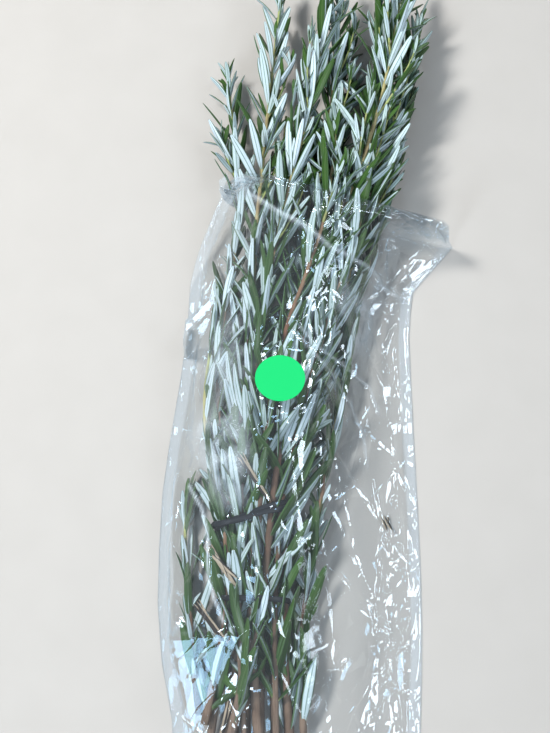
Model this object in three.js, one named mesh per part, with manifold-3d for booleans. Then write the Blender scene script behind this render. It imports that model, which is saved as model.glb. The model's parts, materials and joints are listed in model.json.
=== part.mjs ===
// A bunch of long rosemary sprigs, tied with two rubber bands and sold in a clear film sleeve
// that carries a round paper label. The bunch lies on its back on a flat surface.
//
// Millimetres, +Z up. +Y runs along the bunch, from the cut stem ends to the growing tips.
// Inside this file places are measured from the middle of the sleeve's length; the exported
// group is shifted at the end, so that the origin is the middle of the bounding box's base.

import * as THREE from "three";
import { mergeVertices } from "three/addons/utils/BufferGeometryUtils.js";
import Module from "manifold-3d";

const wasm = await Module();
wasm.setup();

// ---------------------------------------------------------------- driving dimensions

const FILM = 0.5; // wall of the sleeve; it stands in for a film of 0.04
const SEAL = 6; // width of the flat seam along both sides and across the bottom end
const GAP = 0.35; // clear distance kept between neighbouring pieces
const LABEL_DIAMETER = 25;
const LABEL_THICKNESS = 0.4;
const BAND_WIDTH = 3;
const BAND_THICKNESS = 1.1;
const STEM_BASE_RADIUS = 2.1;
const STEM_TIP_RADIUS = 0.7;
const STEM_SIDES = 6;
const LEAF_LENGTH = 31;
const LEAF_WIDTH = 3.4;
const LEAF_THICKNESS = 1.1;
const LEAF_PAIR_SPACING = 15; // distance along the stem from one pair of leaves to the next
const DEGREE = Math.PI / 180;

// ---------------------------------------------------------------- materials

const matt = (color, roughness) => new THREE.MeshStandardMaterial({ color, roughness, metalness: 0 });
const MATERIALS = {
  foliage: matt(0x6f8a70, 0.6),
  dryLeaf: matt(0x5a4632, 0.8),
  rubber: matt(0x3a3230, 0.65),
  labelPaper: matt(0x2ee07a, 0.5),
  film: new THREE.MeshStandardMaterial({
    color: 0xeef2f4,
    roughness: 0.1,
    metalness: 0,
    transparent: true,
    opacity: 0.3,
  }),
};

// ---------------------------------------------------------------- solids and random numbers

// A closed three.js geometry as a manifold-3d solid.
function toSolid(geometry) {
  const bare = new THREE.BufferGeometry();
  bare.setAttribute("position", geometry.getAttribute("position"));
  bare.setIndex(geometry.getIndex());
  const merged = mergeVertices(bare, 1e-3);
  const vertProperties = new Float32Array(merged.attributes.position.array);
  const triVerts = new Uint32Array(merged.index.array);
  return new wasm.Manifold(new wasm.Mesh({ numProp: 3, vertProperties, triVerts }));
}

function toGeometry(solid) {
  const mesh = solid.getMesh();
  const geometry = new THREE.BufferGeometry();
  geometry.setAttribute("position", new THREE.BufferAttribute(mesh.vertProperties, 3));
  geometry.setIndex(new THREE.BufferAttribute(mesh.triVerts, 1));
  geometry.computeVertexNormals();
  return geometry;
}

// Repeatable random numbers from 0 to 1 (a small linear congruential generator).
function randomSource(seed) {
  let state = seed;
  return () => {
    state = (state * 1664525 + 1013904223) % 4294967296;
    return state / 4294967296;
  };
}

// A smooth curve of values: knots are [place, value] pairs in rising order of place.
function profile(knots) {
  return (place) => {
    const last = knots.length - 1;
    if (place <= knots[0][0]) return knots[0][1];
    if (place >= knots[last][0]) return knots[last][1];
    const i = knots.findIndex(([at]) => at > place) - 1;
    const [from, a] = knots[i];
    const [to, b] = knots[i + 1];
    return a + (b - a) * THREE.MathUtils.smoothstep(place, from, to);
  };
}

// ---------------------------------------------------------------- the sleeve

const SLEEVE_BOTTOM = -244;
const MOUTH_LEFT = 102; // the mouth is slanted: its left end is further up than its right
const MOUTH_RIGHT = 66;
const COLUMNS = 13; // the sleeve's faces are a grid; its outermost columns are the side seams
const ROWS = 13; // and its first row is the seam across the closed end
const leftEdge = profile([[-244, -46], [-187, -51], [-133, -60], [-90, -60], [40, -47], [102, -34]]);
const rightEdge = profile([[-244, 70], [-120, 75], [20, 73], [42, 75], [66, 97]]);
const crestPlace = profile([[-244, -12], [-80, -8], [0, 4], [66, 22]]);
const crestHeight = profile([[-244, 24], [-187, 27], [-122, 33], [-40, 44], [5, 43], [80, 51]]);
const closedEnd = profile([[SLEEVE_BOTTOM + SEAL, 0], [SLEEVE_BOTTOM + SEAL + 28, 1]]);

const mouthLine = (share) => THREE.MathUtils.lerp(MOUTH_LEFT, MOUTH_RIGHT, share ** 0.7);

// Where the mouth is, on the line through x that runs along the bunch.
function mouthAt(x) {
  const left = leftEdge(MOUTH_LEFT);
  const right = rightEdge(MOUTH_RIGHT);
  return mouthLine(THREE.MathUtils.clamp((x - left) / (right - left), 0, 1));
}

// Height of the inner face of the upper film: a mound over the bunch that falls to both seams.
function innerTop(x, y) {
  const crest = crestPlace(y);
  const edge = x < crest ? leftEdge(y) + SEAL : rightEdge(y) - SEAL;
  const away = THREE.MathUtils.clamp((x - crest) / (edge - crest), 0, 1);
  const mound = x < crest ? 1 - away ** 2.5 : 0.5 + 0.5 * Math.cos(Math.PI * away ** 1.25);
  return FILM + 0.2 + crestHeight(y) * mound * closedEnd(y);
}

// The upper film is measured straight up, so it is made thicker than FILM for its steep sides.
const outerTop = (x, y) => innerTop(x, y) + 1.4 * FILM;

// The place of a grid point: seams keep their width, the other columns and rows are even.
function gridPlace(column, row) {
  const end = mouthLine(column / COLUMNS);
  const start = SLEEVE_BOTTOM + SEAL;
  let y = THREE.MathUtils.mapLinear(row, 1, ROWS, start, end);
  if (row < 1) y = SLEEVE_BOTTOM;
  let x = THREE.MathUtils.mapLinear(column, 1, COLUMNS - 1, leftEdge(y) + SEAL, rightEdge(y) - SEAL);
  if (column < 1) x = leftEdge(y);
  if (column > COLUMNS - 1) x = rightEdge(y);
  return [x, y];
}

// A solid over a block of the grid, from one height up to another; both are functions of x and y.
function gridSolid([firstColumn, lastColumn], [firstRow, lastRow], bottom, top) {
  const columns = lastColumn - firstColumn;
  const rows = lastRow - firstRow;
  const block = new THREE.BoxGeometry(columns, rows, 1, columns, rows, 1);
  block.translate((firstColumn + lastColumn) / 2, (firstRow + lastRow) / 2, 0);
  const place = block.getAttribute("position");
  for (let i = 0; i < place.count; i++) {
    const [x, y] = gridPlace(Math.round(place.getX(i)), Math.round(place.getY(i)));
    place.setXYZ(i, x, y, (place.getZ(i) > 0 ? top : bottom)(x, y));
  }
  return toSolid(block);
}

function sleeve() {
  const outside = gridSolid([0, COLUMNS], [0, ROWS], () => 0, outerTop);
  const inside = gridSolid([1, COLUMNS - 1], [1, ROWS + 1], () => FILM, innerTop);
  return outside.subtract(inside);
}

// ---------------------------------------------------------------- label and rubber bands

// A round piece of a thin sheet that follows the film it is stuck on.
function label(x, y) {
  const lower = (u, v) => outerTop(u, v) + GAP;
  const upper = (u, v) => outerTop(u, v) + GAP + LABEL_THICKNESS;
  const sheet = gridSolid([1, COLUMNS - 1], [1, ROWS], lower, upper);
  const disc = new THREE.CylinderGeometry(LABEL_DIAMETER / 2, LABEL_DIAMETER / 2, 120, 28);
  disc.rotateX(Math.PI / 2);
  disc.translate(x, y, 0);
  return sheet.intersect(toSolid(disc));
}

// A flat rubber band pulled round the stems: an oval ring across the bunch, turned a little.
function rubberBand({ x, y, z, halfWidth, halfHeight, turn }) {
  const ring = new THREE.Shape();
  ring.absellipse(0, 0, halfWidth + BAND_THICKNESS, halfHeight + BAND_THICKNESS, 0, 2 * Math.PI);
  const hole = new THREE.Path();
  hole.absellipse(0, 0, halfWidth, halfHeight, 0, 2 * Math.PI);
  ring.holes.push(hole);
  const band = new THREE.ExtrudeGeometry(ring, {
    depth: BAND_WIDTH,
    bevelEnabled: false,
    curveSegments: 14,
  });
  band.translate(0, 0, -BAND_WIDTH / 2);
  band.rotateX(Math.PI / 2);
  band.rotateZ(turn * DEGREE);
  band.translate(x, y, z);
  return toSolid(band);
}

const BANDS = {
  rubber_band_upper: { x: -10, y: -82, z: 17, halfWidth: 23, halfHeight: 13.5, turn: 15 },
  rubber_band_lower: { x: -10.5, y: -123, z: 14.2, halfWidth: 19, halfHeight: 11.5, turn: -6 },
};

// ---------------------------------------------------------------- leaves

// A triangle in a circle of diameter 1, which is the section of a leaf before it is scaled.
const LEAF_SECTION = { width: Math.sqrt(3) / 2, height: 0.75 };

// A narrow leaf along +Y from the origin, with a flat upper side and a keeled back.
function leafGeometry(length, width, thickness) {
  const outline = [
    new THREE.Vector2(0, 0),
    new THREE.Vector2(0.5, 0.62 * length),
    new THREE.Vector2(0, length),
  ];
  const leaf = new THREE.LatheGeometry(outline, 3);
  leaf.scale(width / LEAF_SECTION.width, 1, thickness / LEAF_SECTION.height);
  return leaf;
}

// The matrix that stands a leaf at a point, pointing along direction, its back turned outwards.
function leafMatrix(point, direction, outward) {
  const across = new THREE.Vector3().crossVectors(direction, outward).normalize();
  const back = new THREE.Vector3().crossVectors(across, direction);
  return new THREE.Matrix4().makeBasis(across, direction, back).setPosition(point);
}

// ---------------------------------------------------------------- what a leaf keeps clear of

const pieces = new Map(); // name of each finished piece, and its solid
const obstacles = []; // { owner, box, solid }: everything placed so far

function addObstacle(owner, solid) {
  obstacles.push({ owner, box: solid.boundingBox(), solid });
}

const apart = (a, b) => [0, 1, 2].some((i) => a.max[i] < b.min[i] || a.min[i] > b.max[i]);

function isFree(owner, solid) {
  const box = solid.boundingBox();
  return obstacles.every((other) => {
    if (other.owner === owner || apart(box, other.box)) return true;
    return solid.intersect(other.solid).isEmpty();
  });
}

// Inside the sleeve a leaf stays between the two films; past the mouth it only stays off the floor.
function isInRoom(point) {
  if (point.z < FILM + 1) return false;
  if (point.y > mouthAt(point.x) + 4) return true;
  const beside = point.x < leftEdge(point.y) + SEAL + 1 || point.x > rightEdge(point.y) - SEAL - 1;
  return !beside && point.z < innerTop(point.x, point.y) - 1.6;
}

// ---------------------------------------------------------------- sprigs

// Each sprig's stem runs through these points [x, y, z], from its cut end to its growing tip.
// bare is the length at the cut end with no leaves.
const SPRIGS = [
  {
    bare: 34,
    path: [
      [-26, -208, 13], [-15, -160, 21], [-6, -123, 22], [-2, -82, 26.5],
      [12, 0, 31], [38, 80, 36], [55, 130, 38], [74, 226, 32],
    ],
  },
  {
    bare: 60,
    path: [
      [-6, -212, 15], [-12, -123, 18], [-8, -82, 26.5], [2, 0, 34],
      [26, 70, 41], [33, 128, 40],
    ],
  },
  {
    bare: 46,
    path: [
      [-14, -204, 11], [-18, -123, 20], [-17, -82, 24], [-9, 0, 30],
      [5, 80, 34], [20, 140, 35], [32, 218, 34],
    ],
  },
  {
    bare: 52,
    path: [
      [-34, -210, 6], [-24, -123, 12], [-24, -82, 16], [-14, 0, 22],
      [-9, 80, 25], [5, 228, 22],
    ],
  },
  {
    bare: 66,
    path: [
      [-28, -214, 7], [-18, -123, 12.5], [-25, -82, 9.5], [-30, 0, 14],
      [-20, 80, 15.4], [-27, 168, 16],
    ],
  },
  {
    bare: 40,
    path: [
      [8, -206, 7], [4, -123, 13], [6, -82, 18], [25, 0, 22],
      [50, 80, 24], [84, 202, 22],
    ],
  },
  {
    bare: 70,
    path: [
      [-7, -208, 9.5], [-7, -123, 12], [-9, -82, 19], [8, 0, 24],
      [24, 80, 27], [38, 224, 24],
    ],
  },
  {
    bare: 58,
    path: [
      [1, -214, 13], [0, -123, 18], [2.5, -82, 23], [22, 0, 30],
      [46.6, 80, 32], [56, 150, 27], [60, 222, 26],
    ],
  },
  {
    bare: 76,
    path: [
      [-20, -212, 4.3], [-18, -123, 7.6], [-18, -82, 8.5], [-18, 0, 9],
      [0, 80, 12], [7, 150, 12],
    ],
  },
  {
    bare: 48,
    path: [
      [0, -204, 5.5], [-2, -123, 8], [0, -82, 9.5], [33, 0, 9],
      [58, 80, 10], [78, 164, 11],
    ],
  },
  {
    bare: 18,
    path: [
      [-34, -182, 12.3], [-23, -123, 17.3], [-27, -82, 21], [-37, -30, 14],
      [-31, 40, 8],
    ],
  },
  {
    bare: 10,
    path: [
      [-37, -178, 7], [-41, -150, 8], [-45, -110, 7], [-45, -62, 6],
    ],
  },
  {
    bare: 20,
    path: [
      [14, -190, 8], [13, -150, 9], [19, -100, 10], [30, -40, 14],
      [44, 24, 13],
    ],
  },
  {
    bare: 72,
    path: [
      [-14, -206, 4.3], [-12, -123, 7], [-9, -82, 8], [6, 0, 9],
      [20, 80, 11], [44, 194, 12],
    ],
  },
];

const sprigName = (index) => "sprig_" + String(index + 1).padStart(2, "0");
const pathOf = ({ path }) => new THREE.CatmullRomCurve3(path.map((p) => new THREE.Vector3(...p)));

// A tapered round bar along the stem's path.
function stem(curve) {
  const length = curve.getLength();
  const steps = Math.round(length / 22);
  const frames = curve.computeFrenetFrames(steps);
  const bar = new THREE.CylinderGeometry(STEM_TIP_RADIUS, STEM_BASE_RADIUS, 1, STEM_SIDES, steps);
  const place = bar.getAttribute("position");
  for (let i = 0; i < place.count; i++) {
    const share = place.getY(i) + 0.5;
    const k = Math.round(share * steps);
    const point = curve.getPointAt(share);
    point.addScaledVector(frames.binormals[k], place.getX(i));
    point.addScaledVector(frames.normals[k], place.getZ(i));
    place.setXYZ(i, point.x, point.y, point.z);
  }
  return toSolid(bar);
}

// Leaves stand in opposite pairs, each pair a quarter turn from the last, and lean towards the tip.
function leafPlaces(sprig, index) {
  const random = randomSource(1000 + 77 * index);
  const curve = pathOf(sprig);
  const length = curve.getLength();
  const places = [];
  const first = random() * 90;
  for (let s = sprig.bare, pair = 0; s < length - 2; s += LEAF_PAIR_SPACING, pair++) {
    const share = s / length;
    const size = 1 - 0.5 * THREE.MathUtils.smoothstep(share, 0.86, 1) + 0.16 * (random() - 0.5);
    const lean = THREE.MathUtils.lerp(38, 18, share ** 2) + 8 * (random() - 0.5);
    for (const side of [0, 180]) {
      places.push({ share, size, lean, angle: first + pair * 90 + side + 24 * (random() - 0.5) });
    }
  }
  return places;
}

// A leaf that would touch a neighbour is tried again closer to its stem or turned, then left out.
const ATTEMPTS = [[1, 0], [0.75, 22], [0.75, -22], [0.5, 0], [1.15, 40], [1.15, -40], [0.35, 60]];

function leafSolid(owner, curve, { share, size, lean, angle }) {
  const point = curve.getPointAt(share);
  const along = curve.getTangentAt(share);
  const up = new THREE.Vector3(0, 0, 1);
  const side = new THREE.Vector3().crossVectors(along, up).normalize();
  for (const [leaning, turning] of ATTEMPTS) {
    const turned = (angle + turning) * DEGREE;
    const outward = side.clone().applyAxisAngle(along, turned);
    const direction = along.clone().multiplyScalar(Math.cos(lean * leaning * DEGREE));
    direction.addScaledVector(outward, Math.sin(lean * leaning * DEGREE));
    const length = LEAF_LENGTH * size;
    const reach = [0.6, 1].map((part) => point.clone().addScaledVector(direction, part * length));
    if (!reach.every(isInRoom)) continue;
    const matrix = leafMatrix(point, direction, outward);
    const grown = leafGeometry(length + 2 * GAP, LEAF_WIDTH + 3 * GAP, LEAF_THICKNESS + 3 * GAP);
    if (!isFree(owner, toSolid(grown.applyMatrix4(matrix)))) continue;
    return toSolid(leafGeometry(length, LEAF_WIDTH, LEAF_THICKNESS).applyMatrix4(matrix));
  }
  return null;
}

// ---------------------------------------------------------------- loose leaves in the sleeve

// The first lies on the lower film; the others are caught on top of the sprigs.
const LOOSE_LEAVES = {
  loose_leaf_1: { x: 58, y: -84, z: FILM + GAP + 0.75, turn: 20, dip: 0, length: 8 },
  loose_leaf_2: { x: -11, y: -64, z: 34, turn: 31, dip: -2, length: 26 },
  loose_leaf_3: { x: -26, y: -107, z: 26.5, turn: 36, dip: 2, length: 24 },
  loose_leaf_4: { x: -32, y: -134, z: 20, turn: 35, dip: -12, length: 26 },
  loose_leaf_5: { x: -24, y: -180, z: 14.5, turn: -20, dip: 3, length: 20 },
};

function looseLeaf({ x, y, z, turn, dip, length }) {
  const leaf = leafGeometry(length, LEAF_WIDTH * 0.9, LEAF_THICKNESS);
  leaf.translate(0, -length / 2, 0);
  leaf.rotateX(dip * DEGREE);
  leaf.rotateZ(turn * DEGREE);
  leaf.translate(x, y, z);
  return toSolid(leaf);
}

// ---------------------------------------------------------------- assembly

const LABEL_PLACE = [2.5, -17];

pieces.set("sleeve", [sleeve(), MATERIALS.film]);
pieces.set("label", [label(...LABEL_PLACE), MATERIALS.labelPaper]);
for (const [name, band] of Object.entries(BANDS)) {
  pieces.set(name, [rubberBand(band), MATERIALS.rubber]);
}
for (const [name, leaf] of Object.entries(LOOSE_LEAVES)) {
  pieces.set(name, [looseLeaf(leaf), MATERIALS.dryLeaf]);
}
for (const [name, [solid]] of pieces) addObstacle(name, solid);
SPRIGS.forEach((sprig, i) => addObstacle(sprigName(i), stem(pathOf(sprig))));

SPRIGS.forEach((sprig, i) => {
  const name = sprigName(i);
  const curve = pathOf(sprig);
  let grown = stem(curve);
  for (const place of leafPlaces(sprig, i)) {
    const leaf = leafSolid(name, curve, place);
    if (!leaf) continue;
    addObstacle(name, leaf);
    grown = grown.add(leaf);
  }
  pieces.set(name, [grown, MATERIALS.foliage]);
});

const bunch = new THREE.Group();
for (const [name, [solid, material]] of pieces) {
  const mesh = new THREE.Mesh(toGeometry(solid), material);
  mesh.name = name;
  bunch.add(mesh);
}

const box = new THREE.Box3().setFromObject(bunch);
bunch.position.set(-(box.min.x + box.max.x) / 2, -(box.min.y + box.max.y) / 2, -box.min.z);

export default bunch;
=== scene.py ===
import bpy
import bmesh
import json
import math
import random
import numpy as np
from mathutils import Matrix, Vector, noise
from mathutils.bvhtree import BVHTree

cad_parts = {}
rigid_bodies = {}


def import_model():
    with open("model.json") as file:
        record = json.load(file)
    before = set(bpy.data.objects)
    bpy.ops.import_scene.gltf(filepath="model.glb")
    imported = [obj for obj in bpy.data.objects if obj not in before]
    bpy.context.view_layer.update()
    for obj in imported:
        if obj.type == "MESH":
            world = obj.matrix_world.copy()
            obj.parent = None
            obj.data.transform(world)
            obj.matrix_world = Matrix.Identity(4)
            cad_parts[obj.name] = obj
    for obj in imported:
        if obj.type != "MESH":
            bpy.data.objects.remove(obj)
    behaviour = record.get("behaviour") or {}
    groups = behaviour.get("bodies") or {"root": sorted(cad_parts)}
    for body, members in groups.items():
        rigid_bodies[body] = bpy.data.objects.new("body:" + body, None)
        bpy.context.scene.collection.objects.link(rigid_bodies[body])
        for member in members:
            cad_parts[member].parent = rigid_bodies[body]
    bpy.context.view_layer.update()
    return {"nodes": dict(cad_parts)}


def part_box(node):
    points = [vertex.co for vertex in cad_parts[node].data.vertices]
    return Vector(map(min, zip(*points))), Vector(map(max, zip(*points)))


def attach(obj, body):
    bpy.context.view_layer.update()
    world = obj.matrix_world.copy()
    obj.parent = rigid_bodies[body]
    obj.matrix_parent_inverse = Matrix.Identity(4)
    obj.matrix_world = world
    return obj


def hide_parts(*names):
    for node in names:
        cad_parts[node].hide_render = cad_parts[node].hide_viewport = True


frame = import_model()
nodes = frame["nodes"]
mm = 0.001
sprigNames = sorted(name for name in nodes if name.startswith("sprig_"))
looseNames = sorted(name for name in nodes if name.startswith("loose_leaf_"))
labelLow, labelHigh = [Vector(corner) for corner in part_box("label")]
labelCentre = (labelLow + labelHigh) / 2
print("frame loaded,", len(nodes), "nodes")


# places on the sleeve are given in millimetres from the label's centre
def fromLabel(x, y, z=0.0):
    return Vector((labelCentre.x + x * mm, labelCentre.y + y * mm, z * mm))


def smoothStep(low, high, value):
    share = min(1.0, max(0.0, (value - low) / (high - low)))
    return share * share * (3 - 2 * share)


def mix(a, b, share):
    return a + (b - a) * share


def newMaterial(name):
    material = bpy.data.materials.new(name)
    material.use_nodes = True
    material.node_tree.nodes.clear()
    return material, material.node_tree


# a node with its settings; a value that is an output socket is linked, any other is typed in
def addNode(tree, kind, inputs=None, **settings):
    node = tree.nodes.new("ShaderNode" + kind)
    for key, value in settings.items():
        setattr(node, key, value)
    for key, value in (inputs or {}).items():
        if isinstance(value, bpy.types.NodeSocket):
            tree.links.new(value, node.inputs[key])
        else:
            node.inputs[key].default_value = value
    return node


def ramp(tree, fac, stops):
    node = addNode(tree, "ValToRGB", {"Fac": fac})
    elements = node.color_ramp.elements
    while len(elements) < len(stops):
        elements.new(0.5)
    for element, (place, colour) in zip(elements, stops):
        element.position = place
        element.color = (*colour, 1) if len(colour) == 3 else colour
    return node.outputs["Color"]


def mathNode(tree, operation, a, b=0.0, clamp=False):
    node = addNode(tree, "Math", {0: a, 1: b}, operation=operation, use_clamp=clamp)
    return node.outputs[0]


def mixColour(tree, fac, a, b, blend="MIX"):
    node = tree.nodes.new("ShaderNodeMix")
    node.data_type = "RGBA"
    node.blend_type = blend
    for socket, value in ((node.inputs[0], fac), (node.inputs[6], a), (node.inputs[7], b)):
        if isinstance(value, bpy.types.NodeSocket):
            tree.links.new(value, socket)
        elif isinstance(value, tuple):
            socket.default_value = (*value, 1)
        else:
            socket.default_value = value
    return node.outputs[2]


def stepNode(tree, value, low, high):
    node = addNode(tree, "MapRange", {"Value": value, "From Min": low, "From Max": high})
    node.interpolation_type = "SMOOTHSTEP"
    return node.outputs["Result"]


def noiseNode(tree, scale, detail=3.0, stretch=(1, 1, 1)):
    place = addNode(tree, "TexCoord").outputs["Object"]
    mapped = addNode(tree, "Mapping", {"Vector": place, "Scale": stretch}).outputs[0]
    return addNode(tree, "TexNoise", {"Vector": mapped, "Scale": scale, "Detail": detail})


def bumpNode(tree, height, strength, distance):
    node = addNode(tree, "Bump", {"Height": height, "Strength": strength, "Distance": distance})
    return node.outputs[0]


def finishSurface(tree, shader):
    out = tree.nodes.new("ShaderNodeOutputMaterial")
    tree.links.new(shader, out.inputs["Surface"])


leafColours = {
    "upperDark": (0.007, 0.024, 0.008),
    "upperLight": (0.045, 0.110, 0.020),
    "underPale": (0.62, 0.74, 0.87),
    "underGreen": (0.20, 0.30, 0.22),
    "deep": (0.16, 0.26, 0.17),  # what is left of the light deep in the bunch
    "midrib": (0.10, 0.18, 0.14),
    "margin": (0.045, 0.105, 0.035),
    "groove": (0.13, 0.20, 0.08),
    "stalk": (0.30, 0.36, 0.16),
    "tip": (0.16, 0.10, 0.04),
    "netPerLeaf": 24,  # rows of fine veins on the underside
    "netSlant": -1.6,  # how far a row runs back towards the margin
    "netStrength": 0.28,
    "speckleStrength": 0.28,
    "rolledFrom": 0.55,  # where the rolled edge gives way to the underside
    "rolledTo": 0.82,
    "gloss": (0.36, 0.72),  # roughness above and below
}


# leafMap holds across (-1 to 1), along (0 to 1) and under (0 above, 1 below)
def leafMaterial():
    look = leafColours
    material, tree = newMaterial("rosemary_leaf")
    where = addNode(tree, "Attribute", attribute_name="leafMap").outputs["Vector"]
    across, along, under = addNode(tree, "SeparateXYZ", {0: where}).outputs
    tone = addNode(tree, "Attribute", attribute_name="leafTone").outputs["Fac"]
    speckle = noiseNode(tree, 1500, 3).outputs["Fac"]
    patch = noiseNode(tree, 160, 2).outputs["Fac"]
    upper = mixColour(tree, tone, look["upperDark"], look["upperLight"])
    upper = mixColour(tree, mathNode(tree, "MULTIPLY", patch, 0.5), upper, look["upperLight"])
    fromMiddle = mathNode(tree, "ABSOLUTE", across)
    groove = mathNode(tree, "SUBTRACT", 1.0, stepNode(tree, fromMiddle, 0.03, 0.16))
    upper = mixColour(tree, mathNode(tree, "MULTIPLY", groove, 0.35), upper, look["groove"])
    greener = mathNode(tree, "MULTIPLY", tone, 0.55)
    pale = mixColour(tree, greener, look["underPale"], look["underGreen"])
    spots = mathNode(tree, "MULTIPLY", speckle, look["speckleStrength"])
    pale = mixColour(tree, spots, pale, look["underGreen"])
    rows = mathNode(tree, "ADD", mathNode(tree, "MULTIPLY", along, look["netPerLeaf"]),
                    mathNode(tree, "MULTIPLY", fromMiddle, look["netSlant"]))
    net = mathNode(tree, "ABSOLUTE", mathNode(tree, "SINE", mathNode(tree, "MULTIPLY", rows, math.pi)))
    net = mathNode(tree, "SUBTRACT", 1.0, stepNode(tree, net, 0.0, 0.45))
    net = mathNode(tree, "MULTIPLY", net, look["netStrength"])
    pale = mixColour(tree, net, pale, look["underGreen"])
    rib = mathNode(tree, "SUBTRACT", 1.0, stepNode(tree, fromMiddle, 0.06, 0.15))
    below = mixColour(tree, mathNode(tree, "MULTIPLY", rib, 0.8), pale, look["midrib"])
    rolled = stepNode(tree, under, look["rolledFrom"], look["rolledTo"])
    body = mixColour(tree, rolled, upper, below)
    flatPart = mathNode(tree, "SUBTRACT", 1.0, rolled)
    atMargin = mathNode(tree, "MULTIPLY", stepNode(tree, under, 0.3, 0.5), flatPart)
    body = mixColour(tree, mathNode(tree, "MULTIPLY", atMargin, 0.6), body, look["margin"])
    stalk = mathNode(tree, "SUBTRACT", 1.0, stepNode(tree, along, 0.02, 0.14))
    body = mixColour(tree, mathNode(tree, "MULTIPLY", stalk, 0.7), body, look["stalk"])
    body = mixColour(tree, stepNode(tree, along, 0.975, 1.0), body, look["tip"])
    # painted shade: a leaf is darkened towards the deep colour by its leafShade mark, as far as it
    # lies under other leaves
    shade = addNode(tree, "Attribute", attribute_name="leafShade").outputs["Fac"]
    body = mixColour(tree, shade, body, look["deep"], "MULTIPLY")
    shiny, dull = look["gloss"]
    rough = addNode(tree, "MapRange", {"Value": rolled, "To Min": shiny, "To Max": dull}).outputs[0]
    grain = mathNode(tree, "MULTIPLY", speckle, 0.5)
    veins = mathNode(tree, "ADD", mathNode(tree, "MULTIPLY", rib, 0.6), grain)
    shader = addNode(tree, "BsdfPrincipled", {
        "Base Color": body,
        "Roughness": rough,
        "Normal": bumpNode(tree, veins, 0.5, 0.0002),
    })
    finishSurface(tree, shader.outputs[0])
    return material


leafForms = {
    "count": 10,
    "width": 4.3 * mm,
    "thickness": 0.95 * mm,
    "length": 31 * mm,
    "sides": 8,
    "rings": 7,
    "bend": (-0.42, 0.34),  # from the first form to the last
    "sweep": 0.07,
    "twist": 0.5,
    "rolledFrom": 0.6,  # share of the way round from the middle of the upper side
    "rolledWidth": 1.12,
    # height at each quarter of the way round, from the middle above to the middle below
    "section": [0.10, 0.42, -0.08, -0.56, -0.36],
}
# for each ring of a leaf from its stalk to its tip: how far along it is, and its share of the width
leafRings = [
    (0.0, 0.0), (0.05, 0.36), (0.22, 0.80), (0.45, 1.0),
    (0.68, 0.94), (0.87, 0.68), (0.965, 0.36), (1.0, 0.0),
]


# one leaf along +Y, its upper side towards +Z: rolled edges, a groove above and a rib below
def leafTemplate(name, bend, sweep, twist):
    form = leafForms
    bm = bmesh.new()
    bmesh.ops.create_uvsphere(bm, u_segments=form["sides"], v_segments=form["rings"], radius=1)
    bmesh.ops.rotate(bm, verts=bm.verts, matrix=Matrix.Rotation(math.radians(-90), 3, "X"))
    maps = bm.verts.layers.float_vector.new("leafMap")
    bm.verts.layers.float.new("leafTone")
    for vert in bm.verts:
        ring = round(math.acos(max(-1.0, min(1.0, -vert.co.y))) / math.pi * form["rings"])
        along, width = leafRings[ring]
        angle = math.atan2(vert.co.x, vert.co.z)  # 0 is the middle of the upper side
        around = abs(angle) / math.pi
        across = math.sin(angle)
        if around > form["rolledFrom"]:
            across *= form["rolledWidth"]
        rise = form["section"][round(around * 4)]
        vert[maps] = Vector((math.copysign(min(1.0, abs(across)), angle), along, around))
        deep = rise * form["thickness"] * max(width, 0.35)
        flat = Vector((across * width * form["width"] / 2, 0, deep))
        if along in (0.0, 1.0):
            flat = Vector((0, 0, 0))
        flat = Matrix.Rotation(twist * (along - 0.3), 3, "Y") @ flat
        vert.co = leafLine(bend, sweep, along) + flat
    bmesh.ops.recalc_face_normals(bm, faces=bm.faces)
    mesh = bpy.data.meshes.new(name)
    bm.to_mesh(mesh)
    bm.free()
    mesh["probes"] = [c for share in (0.35, 0.7, 1.0) for c in leafLine(bend, sweep, share)]
    return mesh


# a point of a form's middle line
def leafLine(bend, sweep, along):
    arc = bend * along
    reach = leafForms["length"] * along
    return Vector((sweep * reach * along, reach * (1 - arc * arc / 6), reach * arc / 2))


def leafTemplates():
    form = leafForms
    rng = random.Random(5)
    templates = []
    for index in range(form["count"]):
        bend = mix(*form["bend"], index / (form["count"] - 1))
        sweep = rng.uniform(-form["sweep"], form["sweep"])
        twist = rng.uniform(-form["twist"], form["twist"])
        templates.append(leafTemplate(f"leaf_form_{index}", bend, sweep, twist))
    return templates


# adds one leaf to a bmesh: a copy of a form, moved into place, with its own tone
def addLeaf(bm, form, matrix, tone):
    copy = form.copy()
    copy.transform(matrix)
    copy.attributes["leafTone"].data.foreach_set("value", [tone] * len(copy.vertices))
    bm.from_mesh(copy)
    bpy.data.meshes.remove(copy)


def leafPlace(point, direction, upper, length, width=1.0):
    side = direction.cross(upper).normalized()
    face = side.cross(direction).normalized()
    scale = length / leafForms["length"]
    turn = Matrix((side, direction, face)).transposed().to_4x4()
    wide = width * mix(1.0, scale, 0.6)
    return Matrix.Translation(point) @ turn @ Matrix.Diagonal((wide, scale, wide, 1))


stemLook = {
    "step": 6 * mm,
    "sides": 9,
    "baseRadius": 2.15 * mm,
    "tipRadius": 0.65 * mm,
    "tipLeaves": 13 * mm,
    "search": (3.6 * mm, 2.6 * mm),  # how far round the guessed middle a slice is looked through
    "leafAway": 4 * mm,  # a solid that reaches this far from its middle line carries leaves
    "stout": {"sprig_02": 1.2, "sprig_06": 1.2, "sprig_01": 1.1},  # stems thicker than the rest
    "otherStout": (0.68, 1.0),
    "aged": {"sprig_02": 0.22, "sprig_01": 0.0, "sprig_04": -0.05},  # how much woodier they look
    "otherAged": (-0.25, 0.1),
}


def meshArrays(node):
    mesh = nodes[node].data
    points = np.empty(len(mesh.vertices) * 3)
    mesh.vertices.foreach_get("co", points)
    ends = np.empty(len(mesh.edges) * 2, dtype=int)
    mesh.edges.foreach_get("vertices", ends)
    return points.reshape(-1, 3), ends.reshape(-1, 2)


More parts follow.
